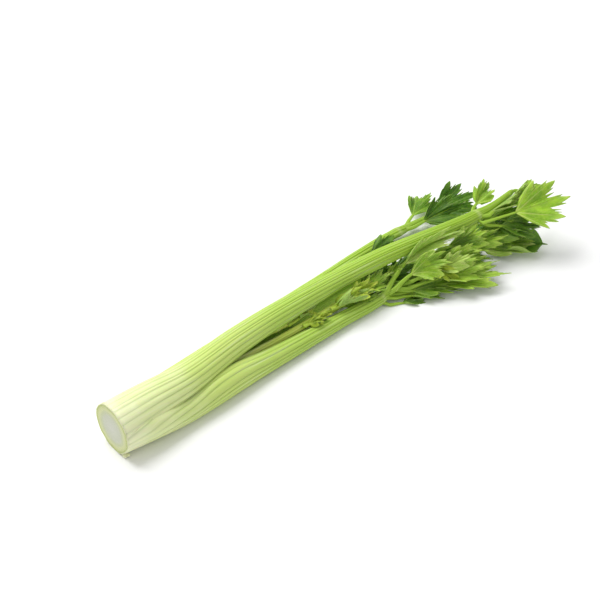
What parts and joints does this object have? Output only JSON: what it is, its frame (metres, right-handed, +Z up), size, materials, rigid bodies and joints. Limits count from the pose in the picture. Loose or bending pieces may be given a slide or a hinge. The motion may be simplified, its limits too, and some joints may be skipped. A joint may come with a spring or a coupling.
{
  "type": "head of celery",
  "caption": "Head of celery cut square at the root end and laid on its side, with ribbed stalks that part along its length and end in lobed leaflets.",
  "frame": {"origin": "middle of the underside of the bounding box, on the surface that the head lies on", "axes": "+X runs along the head from the cut root end to the leaf tips, +Z is up"},
  "size_m": [0.448, 0.14, 0.0663],
  "materials": {
    "stem_pith": "moist matt cut pith, whitish in the middle and yellow-green round its edge",
    "outer_stalk_rind": "ribbed waxy rind, cream at the root end, mid green towards the leaves, soft sheen",
    "inner_stalk_rind": "ribbed waxy rind, yellow-green, soft sheen",
    "leaf_green": "veined leaf, glossy green above and paler and matt beneath",
    "young_leaf": "young veined leaf, yellow-green"
  },
  "bodies": {
    "root": {"butt_core": "stem_pith", "far_leaflet_left": "leaf_green", "far_leaflet_right": "leaf_green", "far_leaflet_tip": "leaf_green", "heart_leaflet_far": "young_leaf", "heart_leaflet_near": "young_leaf", "heart_stalk_far": "inner_stalk_rind", "heart_stalk_near": "inner_stalk_rind", "inner_far_leaflet_low": "young_leaf", "inner_far_leaflet_tip": "young_leaf", "inner_leaflet_low": "young_leaf", "inner_leaflet_rolled": "young_leaf", "inner_leaflet_small": "young_leaf", "inner_leaflet_tip": "young_leaf", "inner_stalk_far": "inner_stalk_rind", "inner_stalk_near": "inner_stalk_rind", "near_leaflet_bright": "leaf_green", "near_leaflet_fingers": "leaf_green", "near_leaflet_floor": "leaf_green", "near_leaflet_long": "leaf_green", "near_leaflet_low": "leaf_green", "near_leaflet_middle": "leaf_green", "near_leaflet_tip": "leaf_green", "near_leaflet_up": "leaf_green", "outer_stalk_far": "outer_stalk_rind", "outer_stalk_near": "outer_stalk_rind", "outer_stalk_top": "outer_stalk_rind", "outer_stalk_under": "outer_stalk_rind", "top_leaflet_back": "leaf_green", "top_leaflet_folded": "leaf_green", "top_leaflet_left": "leaf_green", "top_leaflet_low": "leaf_green", "top_leaflet_tip": "leaf_green", "under_leaflet_cup": "leaf_green", "under_leaflet_inner": "leaf_green", "under_leaflet_left": "leaf_green", "under_leaflet_right": "leaf_green"}
  },
  "joints": []
}
